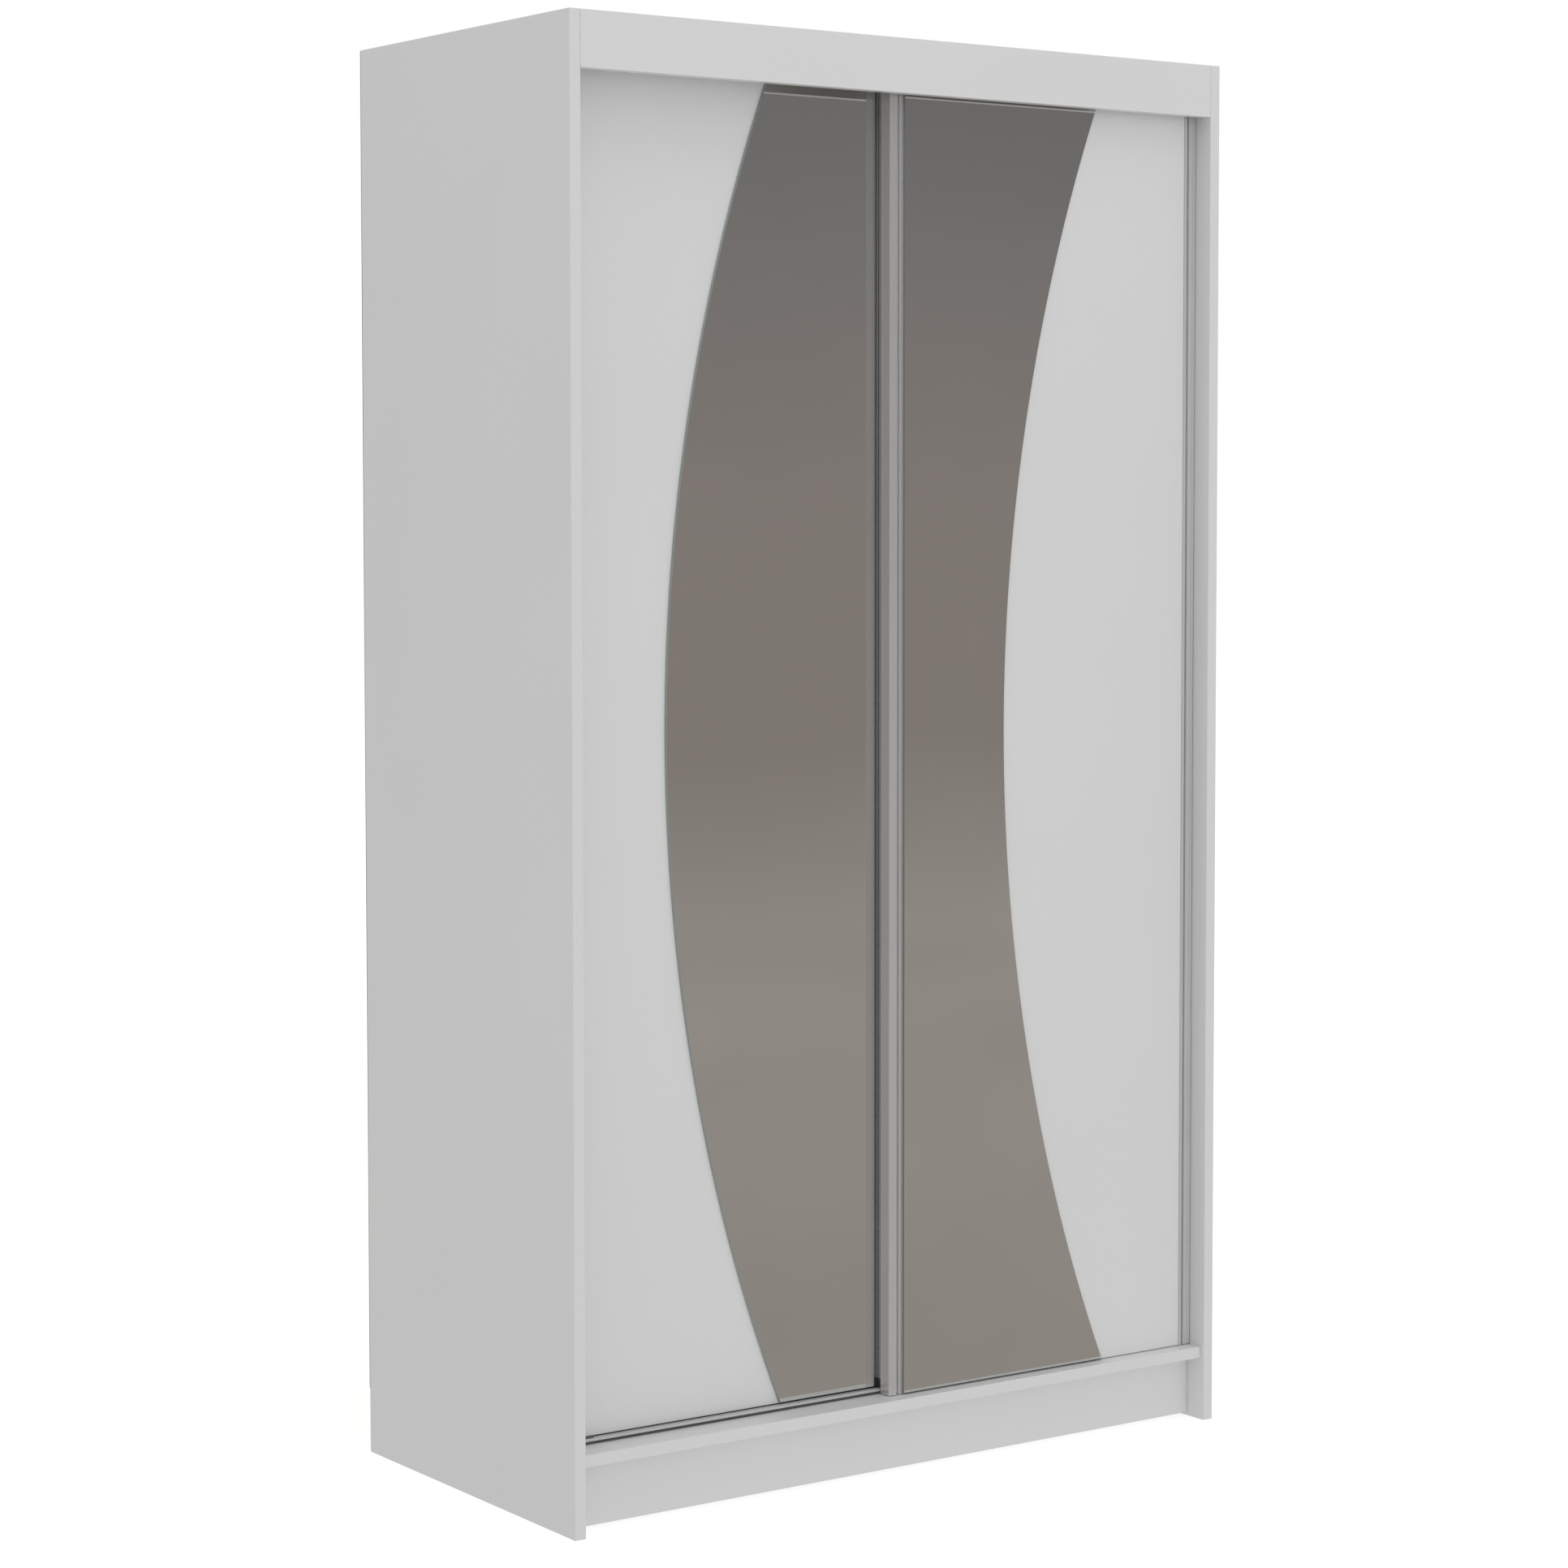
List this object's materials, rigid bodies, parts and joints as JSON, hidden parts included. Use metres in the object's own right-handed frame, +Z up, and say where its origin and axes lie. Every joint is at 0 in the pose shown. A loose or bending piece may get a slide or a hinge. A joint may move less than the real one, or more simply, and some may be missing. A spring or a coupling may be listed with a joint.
{
  "type": "sliding door wardrobe",
  "caption": "Tall white wardrobe whose sliding doors pass each other on double tracks; each door has a mirror with a long curved edge and hides shelves or a hanging bay.",
  "frame": {"origin": "middle of the footprint at floor level", "axes": "+X to the right seen from the front, +Y from the doors to the wall, +Z up"},
  "size_m": [1.2, 0.61, 2.16],
  "materials": {
    "white_laminate": "white melamine-faced board, fine satin",
    "white_hardboard": "lacquered hardboard",
    "anodised_aluminium": "silver anodised extrusion",
    "silvered_glass": "float glass mirror",
    "chromed_steel": "bright plated tube",
    "zinc_plated_steel": "zinc plated",
    "black_nylon": "moulded nylon",
    "grey_acetal": "moulded acetal",
    "grey_pile": "woven pile"
  },
  "bodies": {
    "carcass": {"side_panel_left": "white_laminate", "side_panel_right": "white_laminate", "fascia": "white_laminate", "top_panel": "white_laminate", "bottom_panel": "white_laminate", "plinth_front": "white_laminate", "plinth_rear": "white_laminate", "plinth_middle": "white_laminate", "divider_panel": "white_laminate", "hat_shelf": "white_laminate", "shelf_1": "white_laminate", "shelf_2": "white_laminate", "shelf_3": "white_laminate", "shelf_4": "white_laminate", "back_panel_left": "white_hardboard", "back_panel_right": "white_hardboard", "hanging_rail": "chromed_steel", "rail_socket_left": "grey_acetal", "rail_socket_right": "grey_acetal", "lower_track": "anodised_aluminium", "upper_track": "anodised_aluminium", "rear_stop_left": "black_nylon", "rear_stop_right": "black_nylon", "front_stop_left": "black_nylon", "front_stop_right": "black_nylon"},
    "rear_door": {"rear_door_board": "white_laminate", "rear_door_mirror": "silvered_glass", "rear_door_stile_left": "anodised_aluminium", "rear_left_roller_housing": "black_nylon", "rear_left_roller_pin": "zinc_plated_steel", "rear_left_height_screw": "zinc_plated_steel", "rear_top_guide_left": "black_nylon", "rear_door_stile_right": "anodised_aluminium", "rear_right_roller_housing": "black_nylon", "rear_right_roller_pin": "zinc_plated_steel", "rear_right_height_screw": "zinc_plated_steel", "rear_top_guide_right": "black_nylon", "rear_guide_shoe": "black_nylon"},
    "front_door": {"front_door_board": "white_laminate", "front_door_mirror": "silvered_glass", "front_door_stile_left": "anodised_aluminium", "front_left_roller_housing": "black_nylon", "front_left_roller_pin": "zinc_plated_steel", "front_left_height_screw": "zinc_plated_steel", "front_top_guide_left": "black_nylon", "front_door_stile_right": "anodised_aluminium", "front_right_roller_housing": "black_nylon", "front_right_roller_pin": "zinc_plated_steel", "front_right_height_screw": "zinc_plated_steel", "front_top_guide_right": "black_nylon", "front_guide_shoe": "black_nylon", "front_dust_brush": "grey_pile"},
    "rear_left_wheel": {"rear_left_wheel": "grey_acetal"},
    "rear_right_wheel": {"rear_right_wheel": "grey_acetal"},
    "front_left_wheel": {"front_left_wheel": "grey_acetal"},
    "front_right_wheel": {"front_right_wheel": "grey_acetal"}
  },
  "joints": [
    {"name": "rear_door_slide", "type": "slide", "parent": "carcass", "child": "rear_door", "axis": [1, 0, 0], "range_m": [0, 0.559]},
    {"name": "front_door_slide", "type": "slide", "parent": "carcass", "child": "front_door", "axis": [-1, 0, 0], "range_m": [0, 0.559]},
    {"name": "rear_left_wheel_spin", "type": "hinge", "parent": "rear_door", "child": "rear_left_wheel", "pos_m": [-0.521, -0.2091, 0.1376], "axis": [0, 1, 0], "range_deg": [0, 2300]},
    {"name": "rear_right_wheel_spin", "type": "hinge", "parent": "rear_door", "child": "rear_right_wheel", "pos_m": [-0.0385, -0.2091, 0.1376], "axis": [0, 1, 0], "range_deg": [0, 2300]},
    {"name": "front_left_wheel_spin", "type": "hinge", "parent": "front_door", "child": "front_left_wheel", "pos_m": [0.0385, -0.244, 0.1376], "axis": [0, 1, 0], "range_deg": [-2300, 0]},
    {"name": "front_right_wheel_spin", "type": "hinge", "parent": "front_door", "child": "front_right_wheel", "pos_m": [0.521, -0.244, 0.1376], "axis": [0, 1, 0], "range_deg": [-2300, 0]}
  ],
  "couplings": [
    {"joint": "rear_left_wheel_spin", "follows": "rear_door_slide", "rad_per_m": 71.429},
    {"joint": "rear_right_wheel_spin", "follows": "rear_door_slide", "rad_per_m": 71.429},
    {"joint": "front_left_wheel_spin", "follows": "front_door_slide", "rad_per_m": -71.429},
    {"joint": "front_right_wheel_spin", "follows": "front_door_slide", "rad_per_m": -71.429}
  ]
}
